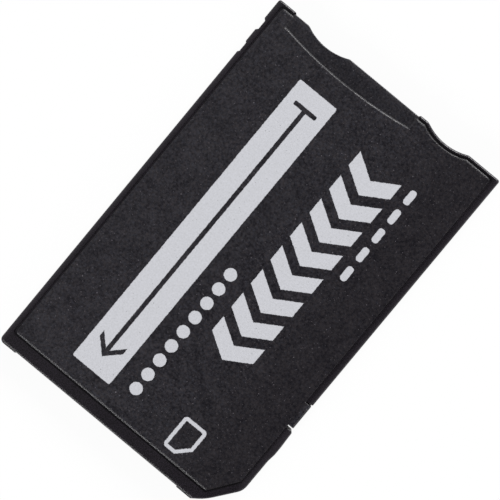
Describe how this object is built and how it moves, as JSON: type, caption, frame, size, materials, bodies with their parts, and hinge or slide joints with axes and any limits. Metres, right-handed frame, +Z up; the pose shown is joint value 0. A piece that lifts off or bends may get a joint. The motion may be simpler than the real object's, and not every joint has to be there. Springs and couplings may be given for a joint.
{
  "type": "memory card adapter",
  "caption": "Flat black card adapter with steel covers; a small memory card slides into its rear mouth and its terminal end plugs into a host slot.",
  "frame": {"origin": "middle of the underside, where the adapter lies", "axes": "+Y along the card from the terminal end to the mouth, +X across it to the side with the corner cut, +Z up through the printed top cover"},
  "size_m": [0.02, 0.031, 0.0016],
  "materials": {
    "frame_plastic": "fine moulded texture",
    "cover_paint": "satin charcoal paint on sheet steel",
    "board_laminate": "green solder mask",
    "chip_resin": "matt moulding resin",
    "carrier_plastic": "moulded",
    "insulating_film": "amber film",
    "contact_gold": "gold plated spring metal",
    "terminal_gold": "gold plated",
    "capacitor_ceramic": "fired ceramic with tinned ends",
    "resistor_body": "glazed, with tinned ends"
  },
  "bodies": {
    "root": {"frame": "frame_plastic", "top_cover": "cover_paint", "bottom_cover": "cover_paint", "circuit_board": "board_laminate", "controller_chip": "chip_resin", "contact_carrier": "carrier_plastic", "upper_film": "insulating_film", "lower_film": "insulating_film", "card_contact_1": "contact_gold", "card_contact_2": "contact_gold", "card_contact_3": "contact_gold", "card_contact_4": "contact_gold", "card_contact_5": "contact_gold", "card_contact_6": "contact_gold", "card_contact_7": "contact_gold", "card_contact_8": "contact_gold", "terminal_01": "terminal_gold", "terminal_02": "terminal_gold", "terminal_03": "terminal_gold", "terminal_04": "terminal_gold", "terminal_05": "terminal_gold", "terminal_06": "terminal_gold", "terminal_07": "terminal_gold", "terminal_08": "terminal_gold", "terminal_09": "terminal_gold", "terminal_10": "terminal_gold", "capacitor_1": "capacitor_ceramic", "resistor_1": "resistor_body", "capacitor_2": "capacitor_ceramic", "resistor_2": "resistor_body", "capacitor_3": "capacitor_ceramic", "resistor_3": "resistor_body", "capacitor_4": "capacitor_ceramic", "resistor_4": "resistor_body"}
  },
  "joints": []
}
